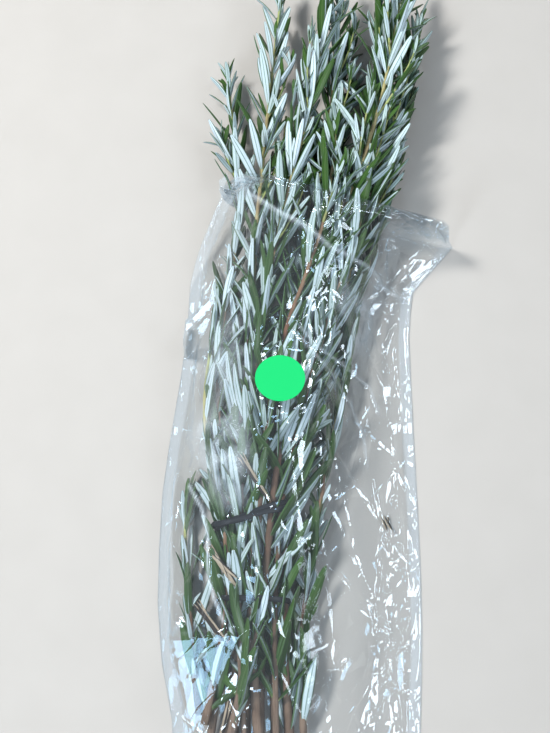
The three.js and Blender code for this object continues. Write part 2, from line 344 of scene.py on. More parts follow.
def sliceAt(points, ends, axis, value):
    a, b = points[ends[:, 0]], points[ends[:, 1]]
    crossing = (a[:, axis] - value) * (b[:, axis] - value) < 0
    a, b = a[crossing], b[crossing]
    share = (value - a[:, axis]) / (b[:, axis] - a[:, axis])
    return a + (b - a) * share[:, None]


# the stem's middle line and the place of its first leaf, read from slices of the sprig's solid
def readStem(name):
    points, ends = meshArrays(name)
    low = points[:, 1].min()
    top = points[:, 1].max() - stemLook["tipLeaves"]
    line = [points[points[:, 1] < low + 2 * mm].mean(axis=0)]
    heading = np.array([0.0, 1.0, 0.0])
    firstLeaf = None
    place = line[0][1] + stemLook["step"]
    while place < top:
        cut = sliceAt(points, ends, 1, place)
        guess = line[-1] + heading * (place - line[-1][1]) / heading[1]
        away = np.linalg.norm(cut - guess, axis=1)
        if firstLeaf is None and len(away) and away.max() > stemLook["leafAway"]:
            firstLeaf = len(line)
        for reach in stemLook["search"]:
            near = cut[np.linalg.norm(cut - guess, axis=1) < reach]
            if len(near) > 2:
                middle = (near.min(axis=0) + near.max(axis=0)) / 2
                guess = guess + (middle - guess) * 0.6
        guess[1] = place
        heading = heading * 0.6 + (guess - line[-1]) / stemLook["step"] * 0.4
        line.append(guess)
        place += stemLook["step"]
    line = np.array(line)
    for _ in range(3):
        line[1:-1] = (line[:-2] + 2 * line[1:-1] + line[2:]) / 4
    return [Vector(p) for p in line], firstLeaf or 4


# a point and a direction at a distance along a line of points
def alongLine(line, distance):
    step = stemLook["step"]
    place = max(0.0, min(len(line) - 1.001, distance / step))
    index = int(place)
    share = place - index
    before = line[max(0, index - 1)]
    start, end = line[index], line[index + 1]
    after = line[min(len(line) - 1, index + 2)]
    point = start.lerp(end, share)
    heading = (end - before).lerp(after - start, share).normalized()
    return point, heading


# a tube through rings that are each bridged to the one before; places are 4x4 matrices
def bridgedTube(bm, places, sides, closed=False):
    rings = []
    for place in places:
        made = bmesh.ops.create_circle(bm, segments=sides, radius=1.0, cap_ends=False, matrix=place)
        ring = set(made["verts"])
        rings.append([edge for vert in ring for edge in vert.link_edges if set(edge.verts) <= ring])
        rings[-1] = list(dict.fromkeys(rings[-1]))
    pairs = list(zip(rings, rings[1:])) + ([(rings[-1], rings[0])] if closed else [])
    for first, second in pairs:
        bmesh.ops.bridge_loops(bm, edges=first + second)
    if not closed:
        bmesh.ops.holes_fill(bm, edges=[edge for edge in bm.edges if edge.is_boundary], sides=0)
    bmesh.ops.recalc_face_normals(bm, faces=bm.faces)


def acrossPlace(point, heading, wide, high=None, up=Vector((0, 0, 1))):
    side = heading.cross(up).normalized()
    rise = side.cross(heading).normalized()
    turn = Matrix((side, rise, heading)).transposed().to_4x4()
    return Matrix.Translation(point) @ turn @ Matrix.Diagonal((wide, high or wide, 1, 1))


stemColours = [
    (0.00, (0.30, 0.36, 0.13)),
    (0.22, (0.42, 0.38, 0.18)),
    (0.45, (0.25, 0.165, 0.105)),
    (0.66, (0.16, 0.075, 0.045)),
    (0.86, (0.12, 0.078, 0.055)),
    (1.00, (0.19, 0.135, 0.10)),
]


def stemMaterial():
    material, tree = newMaterial("rosemary_stem")
    age = addNode(tree, "Attribute", attribute_name="stemAge").outputs["Fac"]
    fibre = noiseNode(tree, 900, 5, (1, 0.10, 1)).outputs["Fac"]
    patch = noiseNode(tree, 60, 3).outputs["Fac"]
    shift = mathNode(tree, "MULTIPLY", mathNode(tree, "SUBTRACT", patch, 0.5), 0.45)
    bark = ramp(tree, mathNode(tree, "ADD", age, shift, clamp=True), stemColours)
    dark = mathNode(tree, "MULTIPLY", stepNode(tree, fibre, 0.45, 0.7), 0.55)
    bark = mixColour(tree, dark, bark, (0.07, 0.045, 0.03))
    rough = addNode(tree, "MapRange", {"Value": age, "To Min": 0.5, "To Max": 0.85}).outputs[0]
    shader = addNode(tree, "BsdfPrincipled", {
        "Base Color": bark,
        "Roughness": rough,
        "Normal": bumpNode(tree, fibre, 0.7, 0.0004),
    })
    finishSurface(tree, shader.outputs[0])
    return material


def treeOf(name):
    mesh = nodes[name].data
    return BVHTree.FromPolygons([v.co for v in mesh.vertices], [p.vertices[:] for p in mesh.polygons])


sleeveTree = treeOf("sleeve")
sleevePoints, sleeveEnds = meshArrays("sleeve")
sleeveLow, sleeveHigh = [Vector(corner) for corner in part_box("sleeve")]


def outline(axis, value):
    cut = sliceAt(sleevePoints, sleeveEnds, axis, value)
    return cut[:, 1 - axis].min(), cut[:, 1 - axis].max()


sideY = np.arange(sleeveLow.y + 0.5 * mm, sleeveHigh.y - 0.4 * mm, 2 * mm)
sides = np.array([outline(1, y) for y in sideY])
mouthX = np.arange(sleeveLow.x + 0.5 * mm, sleeveHigh.x - 0.4 * mm, 2 * mm)
mouthY = np.array([outline(0, x)[1] for x in mouthX])
# the left side swings out below the mouth, so the mouth's line starts at the sleeve's upper corner
cornerX = sides[-1][0]
cornerY = sleeveHigh.y
mouthY = np.where(mouthX < cornerX, cornerY, mouthY)


def sideAt(y):
    return np.interp(y, sideY, sides[:, 0]), np.interp(y, sideY, sides[:, 1])


def mouthAt(x):
    return float(np.interp(x, mouthX, mouthY))


def filmTop(x, y):
    hit = sleeveTree.ray_cast(Vector((x, y, 0.2)), Vector((0, 0, -1)))[0]
    return hit.z if hit else None


bunchTop = max(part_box(name)[1].z for name in nodes)
# how far leaves reach to the right and left: places along the sleeve, and the limit across it at
# each, in mm from the label
leafReach = {
    "right": ((-154, -126, -57, -32, -6, 32, 47, 65, 96, 111, 135, 160, 183, 202, 221, 240),
              (16, 20, 28, 30, 34, 41, 44, 50, 61, 66, 72, 76, 81, 86, 97, 100)),
    "left": ((-154, -130, -56, -36, 12, 55, 70, 200), (-55, -56, -55, -42, -38, -35, -40, -60)),
    # past the mouth the left sprigs stand apart from the rest
    "leftSprigs": ((144, 148, 157, 167, 177, 187, 193, 202, 212, 222),
                   (60, 7, 3, 6, 4, 10, 10, 5, 13, 16)),
    "otherSprigs": ((104, 116, 131, 151, 160, 175, 194, 207, 219),
                    (-60, -4, 1, 5, 6, 9, 12, 20, 22)),
}
apart = {"names": ("sprig_04", "sprig_05"), "growing": ""}
room = {"floor": 2.2 * mm, "underFilm": 1.5 * mm, "outsideMouth": 2 * mm}


# leaves stay under the upper film and above the lower one, and past the mouth off the floor
def hasRoom(point):
    if point.z < room["floor"] or point.z > bunchTop - room["underFilm"]:
        return False
    y = (point.y - labelCentre.y) / mm
    if point.x > labelCentre.x + np.interp(y, *leafReach["right"]) * mm:
        return False
    if point.x < labelCentre.x + np.interp(y, *leafReach["left"]) * mm:
        return False
    across = (point.x - labelCentre.x) / mm
    if apart["growing"] in apart["names"]:
        if across > np.interp(y, *leafReach["leftSprigs"]):
            return False
    elif across < np.interp(y, *leafReach["otherSprigs"]):
        return False
    if point.y > mouthAt(point.x) + room["outsideMouth"]:
        return True
    top = filmTop(point.x, point.y)
    return top is not None and point.z < top - room["underFilm"]


growth = {
    "spacing": (7.6 * mm, 4.8 * mm),  # between pairs, at the first leaves and near the tip
    "sparse": {"sprig_04": 1.25, "sprig_05": 1.6, "sprig_11": 1.3},
    "lowLength": (31 * mm, 42 * mm),
    "highLength": (23 * mm, 32 * mm),
    "lean": (38, 30),  # degrees from the stem, at the first leaves and near the tip
    "tuftChance": (0.42, 0.85),  # small leaves in the corner of a big one
    "tuftLength": (10 * mm, 19 * mm),
    "turnedChance": 0.35,  # leaves that show their upper side
    "turnedInFilm": (0.68, 0.40),  # low in the sleeve and at its mouth
    "fadeNearTip": 42 * mm,
    "lower": 30 * mm,  # how far below its first long leaves a stem already has leaves
    "shootEvery": 34 * mm,  # short side shoots past the mouth
    "shootLength": (26 * mm, 46 * mm),
    "youngLean": 0.5,  # what is left of the lean and of the length at the tip
    "youngLength": 0.42,
    "tipLeaves": 7,
    "tipLength": (8, 14),
    # a leaf without room is tried again: share of its length, and of its lean from the stem
    "tries": ((1, 1), (1, 0.72), (0.9, 0.48), (0.8, 0.25), (0.65, 0.1)),
}


# how each rubber band tilts across the bunch, and the share of leaves that pass over it
bandRings = {"rubber_band_upper": (0.30, 0.30), "rubber_band_lower": (-0.10, 0.75)}


# a leaf that crosses a band's plane passes inside the ring, or now and then over it
def clearsBands(start, end, luck):
    for name, (tilt, share) in bandRings.items():
        if luck < share:
            continue
        low, high = [Vector(corner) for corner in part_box(name)]
        middle, half = (low + high) / 2, (high - low) / 2
        before = start.y - middle.y - tilt * (start.x - middle.x)
        after = end.y - middle.y - tilt * (end.x - middle.x)
        if before * after < 0:
            cross = start.lerp(end, before / (before - after))
            if ((cross.x - middle.x) / half.x) ** 2 + ((cross.z - middle.z) / half.z) ** 2 > 0.75:
                return False
    return True


# stretches of stem that few leaves lie over: from and to along the sleeve, in mm from the label
shownStems = {
    "sprig_01": [(-88, -28), (118, 172)],
    "sprig_02": [(26, 86)],
    "sprig_04": [(94, 130)],
    "sprig_08": [(-165, -102)],
}
shownLook = {"clear": 2.5 * mm, "crossing": 0.15}
shownLines = []


def coversStem(probes, luck):
    if luck < shownLook["crossing"]:
        return False
    between = [first.lerp(second, 0.5) for first, second in zip(probes, probes[1:])]
    for low, high, along, across, up in shownLines:
        for point in probes + between:
            if low < point.y < high and point.z > np.interp(point.y, along, up) - 1 * mm:
                if abs(point.x - np.interp(point.y, along, across)) < shownLook["clear"]:
                    return True
    return False


def tryLeaf(bm, templates, rng, point, heading, radial, lean, length, tone, width=1.0):
    luck = rng.random()
    chance = growth["turnedChance"]
    if point.y < mouthAt(point.x):
        chance = mix(*growth["turnedInFilm"], smoothStep(-60, 0, (point.y - labelCentre.y) / mm))
    turned = math.pi * rng.uniform(0.45, 1.0) if rng.random() < chance else 0.0
    turned = rng.gauss(0, 0.45) + rng.choice((-1, 1)) * turned
    for shrink, less in growth["tries"]:
        angle = math.radians(lean * less)
        direction = (heading * math.cos(angle) + radial * math.sin(angle)).normalized()
        inward = heading * math.sin(angle) - radial * math.cos(angle)
        form = templates[rng.randrange(len(templates))]
        face = Matrix.Rotation(turned, 3, direction) @ inward
        place = leafPlace(point, direction, face, length * shrink, width)
        probes = [place @ Vector(form["probes"][i:i + 3]) for i in (0, 3, 6)]
        clear = clearsBands(point, probes[-1], luck) and not coversStem(probes, luck)
        if clear and all(hasRoom(probe) for probe in probes):
            addLeaf(bm, form, place, tone)
            return True
    return False


def growLeaves(bm, templates, rng, line, firstLeaf, sparse):
    total = (len(line) - 1) * stemLook["step"]
    distance = max(6 * mm, firstLeaf * stemLook["step"] - growth["lower"])
    start = distance
    turn = rng.uniform(0, math.pi)
    toneOfSprig = rng.uniform(0.25, 0.6)
    count = 0
    while distance < total:
        point, heading = alongLine(line, distance)
        share = (distance - start) / (total - start)
        young = smoothStep(total - growth["fadeNearTip"], total, distance)
        side = heading.cross(Vector((0, 0, 1))).normalized()
        lean = mix(*growth["lean"], share) * mix(1.0, growth["youngLean"], young)
        base = point + heading * rng.uniform(-1, 1) * mm
        for half in (0, math.pi):
            around = turn + half + rng.gauss(0, 0.3)
            radial = Matrix.Rotation(around, 3, heading) @ side
            long = mix(rng.uniform(*growth["lowLength"]), rng.uniform(*growth["highLength"]), share)
            long *= mix(1.0, growth["youngLength"], young)
            tone = min(1, max(0, toneOfSprig + rng.gauss(0, 0.2) + 0.25 * young))
            width = mix(1.1, 0.9, share) * rng.uniform(0.85, 1.12)
            off = lean + rng.gauss(0, 9)
            count += tryLeaf(bm, templates, rng, base, heading, radial, off, long, tone, width)
            if rng.random() * sparse < mix(*growth["tuftChance"], min(1, share * 2)):
                small = rng.uniform(*growth["tuftLength"]) * mix(1.0, 0.7, young)
                across = Matrix.Rotation(rng.uniform(-0.7, 0.7), 3, heading) @ radial
                count += tryLeaf(bm, templates, rng, base + heading * mm, heading, across,
                                 rng.uniform(12, 30), small, min(1, tone + 0.2), 0.8)
        turn += math.pi / 2 + rng.gauss(0, 0.12)
        gap = mix(*growth["spacing"], min(1, share * 2.2)) * rng.uniform(0.85, 1.2)
        distance += gap * mix(sparse, 0.6, young)
    end, heading = alongLine(line, total)
    return count + growTip(bm, templates, rng, end, heading)


def growTip(bm, templates, rng, end, heading):
    side = heading.cross(Vector((0, 0, 1))).normalized()
    turn = rng.uniform(0, math.pi)
    count = 0
    for index in range(growth["tipLeaves"]):
        radial = Matrix.Rotation(index * 2.4 + turn, 3, heading) @ side
        long = rng.uniform(*growth["tipLength"]) * mm
        count += tryLeaf(bm, templates, rng, end - heading * rng.uniform(0, 3) * mm, heading, radial,
                         rng.uniform(4, 17), long, rng.uniform(0.6, 1.0), 0.75)
    return count


shootLook = {
    "points": 6,
    "sides": 6,
    "radius": (0.75, 0.4),  # in mm, at its foot and at its tip
    "leafLength": (15, 23),
    "leafLean": (24, 38),
    "leafTone": (0.4, 0.9),
    "leafWidth": 0.85,
}


# short leafy side shoots; each is a thin stem of its own with pairs of smaller leaves
def growShoots(stemMesh, leafMesh, templates, rng, line):
    total = (len(line) - 1) * stemLook["step"]
    distance = rng.uniform(0, growth["shootEvery"])
    count = 0
    while distance < total - 50 * mm:
        point, heading = alongLine(line, distance)
        distance += growth["shootEvery"] * rng.uniform(0.7, 1.3)
        if point.y < mouthAt(point.x) - 30 * mm:
            continue
        side = heading.cross(Vector((0, 0, 1))).normalized()
        radial = Matrix.Rotation(rng.uniform(-0.5, math.pi + 0.5), 3, heading) @ side
        if radial.z < -0.3:
            radial = -radial
        long = rng.uniform(*growth["shootLength"])
        path = []
        last = shootLook["points"] - 1
        for step in range(last + 1):
            share = step / last
            aside = radial * long * (0.42 * share - 0.16 * share * share)
            path.append(point + heading * long * share * 0.93 + aside)
        if not hasRoom(path[-1]) or not hasRoom(path[2]):
            continue
        places = []
        for index in range(last + 1):
            run = (path[min(last, index + 1)] - path[max(0, index - 1)]).normalized()
            places.append(acrossPlace(path[index], run, mix(*shootLook["radius"], index / last) * mm))
        bridgedTube(stemMesh, places, shootLook["sides"])
        turn = rng.uniform(0, math.pi)
        for index in range(1, last + 1):
            run = (path[index] - path[index - 1]).normalized()
            aside = run.cross(Vector((0, 0, 1))).normalized()
            for half in (0, math.pi):
                out = Matrix.Rotation(turn + half + index * math.pi / 2, 3, run) @ aside
                small = rng.uniform(*shootLook["leafLength"]) * mm * mix(1, 0.6, index / last)
                lean = rng.uniform(*shootLook["leafLean"])
                tone = rng.uniform(*shootLook["leafTone"])
                count += tryLeaf(leafMesh, templates, rng, path[index], run, out, lean, small, tone,
                                 shootLook["leafWidth"])
        count += growTip(leafMesh, templates, rng, path[-1], run)
    return count


def growStem(bm, line, age, stout):
    places = []
    total = len(line) - 1
    for index, point in enumerate(line):
        before, after = line[max(0, index - 1)], line[min(total, index + 1)]
        radius = mix(stemLook["baseRadius"] * stout, stemLook["tipRadius"], (index / total) ** 0.8)
        radius *= 1 + 0.10 * (index % 2) + 0.05 * noise.noise(point * 90)
        places.append(acrossPlace(point, (after - before).normalized(), radius))
    bridgedTube(bm, places, stemLook["sides"])
    layer = bm.verts.layers.float.new("stemAge")
    low, high = line[0].y, line[-1].y
    for vert in bm.verts:
        share = (vert.co.y - low) / (high - low)
        vert[layer] = min(1, max(0, (1 - share) * 1.15 + age))


# makes the object of a finished bmesh; its place is in its mesh
def newPiece(name, bm, material, replaced=(), smooth=True):
    mesh = bpy.data.meshes.new(name)
    for face in bm.faces:
        face.smooth = smooth
    bm.to_mesh(mesh)
    bm.free()
    mesh.materials.append(material)
    piece = bpy.data.objects.new(name, mesh)
    bpy.context.scene.collection.objects.link(piece)
    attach(piece, "root")
    if replaced:
        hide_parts(*replaced)
    return piece


# painted shade: leaves with others high above them are marked, from 0 in the open to 1 deep in the
# bunch, and the leaf material darkens them by this mark
shadeLook = {"cell": 3 * mm, "from": 5 * mm, "to": 19 * mm}


def markShade():
    pieces = [piece for piece in bpy.data.objects if piece.name.endswith("_leaves")]
    clouds = []
    for piece in pieces:
        points = np.empty(len(piece.data.vertices) * 3)
        piece.data.vertices.foreach_get("co", points)
        clouds.append(points.reshape(-1, 3))
    low = np.vstack(clouds).min(axis=0)
    cells = [((cloud[:, :2] - low[:2]) / shadeLook["cell"]).astype(int) + 1 for cloud in clouds]
    size = np.vstack(cells).max(axis=0) + 2
    top = np.zeros(size)
    for cloud, cell in zip(clouds, cells):
        np.maximum.at(top, (cell[:, 0], cell[:, 1]), cloud[:, 2])
    near = [(i, j) for i in (-1, 0, 1) for j in (-1, 0, 1)]
    top[1:-1, 1:-1] = sum(top[1 + i:size[0] - 1 + i, 1 + j:size[1] - 1 + j] for i, j in near) / 9
    for piece, cloud, cell in zip(pieces, clouds, cells):
        below = top[cell[:, 0], cell[:, 1]] - cloud[:, 2]
        shade = smoothGrid(shadeLook["from"], shadeLook["to"], below)
        layer = piece.data.attributes.new("leafShade", "FLOAT", "POINT")
        layer.data.foreach_set("value", shade.astype(np.float32))


def smoothGrid(low, high, values):
    share = np.clip((values - low) / (high - low), 0, 1)
    return share * share * (3 - 2 * share)


def makeSprigs():
    leafLook, stemSurface = leafMaterial(), stemMaterial()
    templates = leafTemplates()
    total = 0
    stems = {name: readStem(name) for name in sprigNames}
    for name, stretches in shownStems.items():
        xs, ys, zs = zip(*stems[name][0])
        for low, high in stretches:
            shownLines.append((fromLabel(0, low).y, fromLabel(0, high).y, ys, xs, zs))
    for index, name in enumerate(sprigNames):
        rng = random.Random(100 + index)
        apart["growing"] = name
        line, firstLeaf = stems[name]
        stemMesh = bmesh.new()
        stout = stemLook["stout"].get(name, rng.uniform(*stemLook["otherStout"]))
        age = stemLook["aged"].get(name, rng.uniform(*stemLook["otherAged"]))
        growStem(stemMesh, line, age, stout)
        leafMesh = bmesh.new()
        leafMesh.from_mesh(templates[0])  # for its attributes; its vertices go again
        bmesh.ops.delete(leafMesh, geom=leafMesh.verts[:], context="VERTS")
        total += growLeaves(leafMesh, templates, rng, line, firstLeaf, growth["sparse"].get(name, 1.0))
        total += growShoots(stemMesh, leafMesh, templates, rng, line)
        newPiece(name + "_stem", stemMesh, stemSurface, [name])
        newPiece(name + "_leaves", leafMesh, leafLook, [name])
    markShade()
    print("sprigs grown with", total, "leaves")
    return {name: line for name, (line, firstLeaf) in stems.items()}, templates


stems, templates = makeSprigs()


bandLook = {
    "width": 2.9 * mm,
    "thickness": 0.9 * mm,
    "points": 56,
    "slack": 1.6 * mm,
    "stem": 1.9 * mm,  # from a stem's middle line to its outside
    "reach": 24 * mm,  # stems further out than this lie outside the ring
    "dark": (0.005, 0.006, 0.009),
    "light": (0.020, 0.023, 0.030),
    # the turns of each band: tilt across the bunch, phase of its waves, and lift off the stems
    "turns": {
        "rubber_band_upper": [(0.33, 0.4, 0.0), (0.20, 2.4, 1.4 * mm)],
        "rubber_band_lower": [(-0.10, 1.1, 0.0)],
    },
}


def rubberMaterial():
    material, tree = newMaterial("dark_rubber")
    grain = noiseNode(tree, 700, 4).outputs["Fac"]
    streak = noiseNode(tree, 120, 3, (1, 4, 1)).outputs["Fac"]
    colour = mixColour(tree, streak, bandLook["dark"], bandLook["light"])
    rough = addNode(tree, "MapRange", {"Value": grain, "To Min": 0.42, "To Max": 0.7}).outputs[0]
    shader = addNode(tree, "BsdfPrincipled", {
        "Base Color": colour,
        "Roughness": rough,
        "Normal": bumpNode(tree, grain, 0.35, 0.0002),
    })
    finishSurface(tree, shader.outputs[0])
    return material


# the outline of the stems where the band holds them, as a closed loop of points
def loopRound(middle, tilt, phase):
    hits = []
    for line in stems.values():
        for start, end in zip(line, line[1:]):
            if (start.y - middle.y) * (end.y - middle.y) <= 0 and start.y != end.y:
                share = (middle.y - start.y) / (end.y - start.y)
                hits.append(start.lerp(end, share))
    inside = [p for p in hits if abs(p.x - middle.x) < bandLook["reach"]]
    centre = sum(inside, Vector()) / len(inside)
    loop = []
    for index in range(bandLook["points"]):
        angle = 2 * math.pi * index / bandLook["points"]
        out = Vector((math.cos(angle), 0, math.sin(angle)))
        far = max((p - centre).dot(out) for p in inside) + bandLook["stem"] + bandLook["slack"]
        far += 0.5 * mm * math.sin(2 * angle + phase)
        loop.append((centre + out * far, out, angle))
    smooth = []
    for index, (point, out, angle) in enumerate(loop):
        nearby = [loop[(index + k) % len(loop)][0] for k in range(-3, 4)]
        point = sum(nearby, Vector()) / len(nearby) + out * 0.3 * mm
        point.y = middle.y + tilt * (point.x - centre.x) + 1.2 * mm * math.sin(angle + phase)
        smooth.append(point)
    return smooth, centre


def makeBand(name, turns):
    low, high = [Vector(corner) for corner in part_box(name)]
    middle = (low + high) / 2
    bm = bmesh.new()
    for tilt, phase, lift in turns:
        loop, centre = loopRound(middle, tilt, phase)
        places = []
        for index, point in enumerate(loop):
            heading = (loop[(index + 1) % len(loop)] - loop[index - 1]).normalized()
            out = (point - centre).normalized()
            out = Matrix.Rotation(0.35 * math.sin(index * 0.45 + phase), 3, heading) @ out
            places.append(acrossPlace(point + out * lift, heading, bandLook["width"] / 2,
                                      bandLook["thickness"] / 2, out))
        bridgedTube(bm, places, 10, closed=True)
    newPiece(name + "_pulled", bm, rubber, [name])


rubber = rubberMaterial()
for bandName, turns in bandLook["turns"].items():
    makeBand(bandName, turns)
print("rubber bands made")


looseLook = {
    # each loose leaf is a few strips still joined at their foot: turn, shift in mm, and share of
    # the length and of the width
    "strips": [(0.0, 0.0, 1.0, 0.75), (0.17, 1.9, 0.85, 0.6), (-0.13, -1.8, 0.7, 0.45)],
    "pale": ((0.20, 0.15, 0.10), (0.50, 0.44, 0.35)),
    "dark": ((0.006, 0.006, 0.008), (0.05, 0.04, 0.032)),
    "roughness": 0.8,
}


def dryLeafMaterial():
    material, tree = newMaterial("dried_leaf")
    mottle = noiseNode(tree, 420, 4).outputs["Fac"]
    where = addNode(tree, "Attribute", attribute_name="leafMap").outputs["Vector"]
    across = addNode(tree, "SeparateXYZ", {0: where}).outputs[0]
    tone = addNode(tree, "Attribute", attribute_name="leafTone").outputs["Fac"]
    pale = mixColour(tree, mottle, *looseLook["pale"])
    dark = mixColour(tree, mottle, *looseLook["dark"])
    edge = mathNode(tree, "ADD", across, mathNode(tree, "MULTIPLY", tone, 1.2))
    edge = mathNode(tree, "ADD", edge, mathNode(tree, "MULTIPLY", mottle, 0.5))
    colour = mixColour(tree, stepNode(tree, edge, 0.75, 0.95), pale, dark)
    shader = addNode(tree, "BsdfPrincipled", {
        "Base Color": colour,
        "Roughness": looseLook["roughness"],
        "Normal": bumpNode(tree, mottle, 0.6, 0.0003),
    })
    finishSurface(tree, shader.outputs[0])
    return material


def makeLooseLeaves():
    dry = dryLeafMaterial()
    rng = random.Random(21)
    for index, name in enumerate(looseNames):
        points = meshArrays(name)[0]
        first, last = Vector(points[points[:, 1].argmax()]), Vector(points[points[:, 1].argmin()])
        direction = (last - first).normalized()
        bm = bmesh.new()
        bm.from_mesh(templates[0])
        bmesh.ops.delete(bm, geom=bm.verts[:], context="VERTS")
        for turn, shift, share, wide in looseLook["strips"]:
            aim = Matrix.Rotation(turn, 3, "Z") @ direction
            side = aim.cross(Vector((0, 0, 1))).normalized()
            start = first + side * shift * mm + Vector((0, 0, 0.3 * mm))
            long = (last - first).length * share
            if long < 5 * mm:
                continue
            form = templates[(3 * index + round(10 * share)) % len(templates)]
            up = Vector((rng.uniform(-0.4, 0.4), 0, 1 if index % 2 else -1))
            addLeaf(bm, form, leafPlace(start, aim, up, long * 1.1, wide), rng.random())
        newPiece(name + "_dried", bm, dry, [name])


makeLooseLeaves()
print("loose leaves made")


filmLook = {
    "columns": 130,
    "rows": 300,
    "mirror": 0.085,
    "tint": (0.975, 0.982, 0.985),
    "haze": 0.009,
    "seamHaze": 0.11,
    "roughness": 0.06,
    "aboveLeaves": 0.9 * mm,
    "lowerSheet": 0.45 * mm,  # heights of the lower sheet and of the welded rim
    "rim": 0.5 * mm,
    "edgeMirror": 4.5,  # how sharply the mirror grows at low angles
    "shine": (0.88, 0.95, 1),
    "milk": (0.78, 0.89, 0.98),
    "facetCalm": 0.78,  # how much smoother a flat facet is than the film round it
    "clingDull": 0.85,  # how much less the film shines where it clings
    "belowFold": 0.08,  # haze of the doubled film under the fold, as a share of a seam's
    "seamWidth": (5.6 * mm, 6.4 * mm),
    # cells per metre, stretch, direction in degrees, width of a crease in cells and its height in mm
    "crinkles": [(30, 4.0, 8, 0.05, 0.9), (38, 3.2, -32, 0.045, 0.7), (70, 2.6, 40, 0.05, 0.35)],
}
# lines that both a fold of the sheet and its whitened line follow, in mm from the label's centre; the
# whitening is partly frosting of the film and partly a painted highlight
foldEdge = [(-28, 120), (-16, 100), (-1, 87), (14, 77), (26, 67), (39, 63), (52, 60), (68, 53)]
leftCrease = [(-46, -50), (-39, -62), (-36, -72), (-35, -96), (-32, -106), (-27, -117)]
upperSweep = [(10, 27), (19, 17), (32, 10), (47, 2), (52, -11)]
lowerSweep = [(10, 22), (25, 5), (36, -9), (43, -23)]
# wavelength, height and direction (degrees from the sleeve's length) of each set of folds, in mm
folds = [(64, 3.0, 10), (43, 2.2, -16), (29, 1.5, 23), (19, 0.8, -9), (12, 0.3, 32)]
# single creases: x and y of both ends from the label's centre, half width and height, in mm
creases = [
    (-53, 34, -36, 51, 2.6, 1.8), (-50, 26, -35, 38, 2.4, 1.8), (-45, 86, -39, 102, 2.6, 1.6),
    (-54, -41, -55, -86, 2.0, 1.4), (54, 78, 60, 50, 3.2, 2.8), (61, 72, 66, 40, 2.6, 2.4),
    (48, 50, 69, 56, 2.4, 2.2), (65, 40, 57, 25, 2.6, 2.2), (63, 26, 65, -20, 2.0, 1.4),
    (49, -46, 56, -80, 2.4, 2.2), (60, -56, 66, -99, 2.8, 2.4), (66, -66, 70, -86, 2.4, 2.0),
    (46, -108, 58, -131, 3.0, 2.6), (69, -109, 58, -133, 2.8, 2.4), (58, -133, 60, -169, 3.0, 2.6),
    (55, -133, 49, -169, 2.4, 2.0), (52, -86, 48, -125, 1.8, 1.6), (71, -125, 65, -169, 2.4, 2.2),
    (-51, -125, -41, -170, 4.0, 3.2), (-19, -124, -40, -169, 3.6, 3.0),
    (-51, -125, -20, -124, 2.4, 2.0), (-55, -149, -48, -169, 2.2, 1.8),
    (27, -56, 39, -53, 2.4, 1.5), (20, -148, 38, -135, 3.6, 2.2),
]
# long thin arcs, as points from the label's centre in mm, with half width and height
arcs = [
    (upperSweep, 1.3, 1.1),
    (lowerSweep, 1.2, 1.0),
    ([(48, 12), (45, -4), (47, -20), (42, -50)], 1.2, 1.0),
    ([(40, 30), (56, 4), (60, -30), (62, -70)], 1.2, 1.1),
    ([(26, -20), (30, -50), (24, -76)], 0.7, 0.5),
    ([(-52, 44), (-46, 0), (-52, -44), (-50, -96)], 0.8, 0.8),
    ([(50, 20), (42, -12), (46, -50), (56, -84)], 0.8, 0.7),
    ([(-46, -60), (-54, -100), (-50, -140)], 0.8, 0.8),
    (leftCrease, 1.2, 1.5),
    ([(40, -90), (52, -116), (50, -150)], 0.8, 0.8),
    ([(-30, 70), (-34, 40), (-46, 20)], 0.7, 0.6),
    # the front of the mouth is folded: two lines from its left corner across to the right edge
    (foldEdge, 1.4, 1.6),
    ([(-28, 110), (-18, 95), (-4, 81), (10, 70), (24, 60), (38, 56), (52, 53)], 0.9, 0.8),
]
# star-shaped dents: x, y, radius and depth in mm, and number of folds round each
dents = [
    (33, -55, 8, 2.0, 5), (30, -141, 11, 2.6, 6), (57, -121, 14, 3.0, 7), (63, -86, 9, 2.4, 5),
    (45, -22, 7, 1.8, 5), (60, 60, 12, 3.2, 7), (59, -149, 12, 3.0, 6), (-43, 32, 9, 2.0, 5),
    (55, 44, 9, 2.4, 5), (70, -64, 8, 2.2, 5), (12, -83, 7, 1.7, 5), (14, -99, 7, 1.7, 6),
    (15, -114, 7, 1.7, 5),
]
# how crumpled the film is: loose at the sides, smooth over the middle of the bunch, in mm from the
# label; the middle drifts to the right towards the mouth
looseness = {"middle": 0.22, "side": 1.0, "from": 10, "to": 34, "centre": 2, "drift": 0.1}


def nearestShare(place, start, end):
    run = end - start
    share = max(0.0, min(1.0, (place - start).dot(run) / run.length_squared))
    return share, (place - start.lerp(end, share)).length


def looseAt(x, y):
    drift = looseness["centre"] + max(0.0, (y - labelCentre.y) / mm) * looseness["drift"]
    away = abs((x - labelCentre.x) / mm - drift)
    outer = smoothStep(looseness["from"], looseness["to"], away)
    return mix(looseness["middle"], looseness["side"], outer)


# broad folds: slanted waves that stand higher in some patches than in others
def foldHeight(x, y):
    place = Vector((x, y, 0))
    warp = noise.noise(place * 18) * 8 * mm
    total = 0.0
    for index, (wave, height, angle) in enumerate(folds):
        turn = math.radians(angle)
        across = x * math.cos(turn) + y * math.sin(turn) + warp
        phase = across / (wave * mm) + 0.37 * index
        ridge = 1 - abs((phase % 1.0) * 2 - 1)
        patch = 0.6 + noise.noise(place * 24 + Vector((index * 7.1, 0, 3)))
        total += (ridge - 0.5) * height * mm * max(0.1, patch)
    return total * looseAt(x, y)


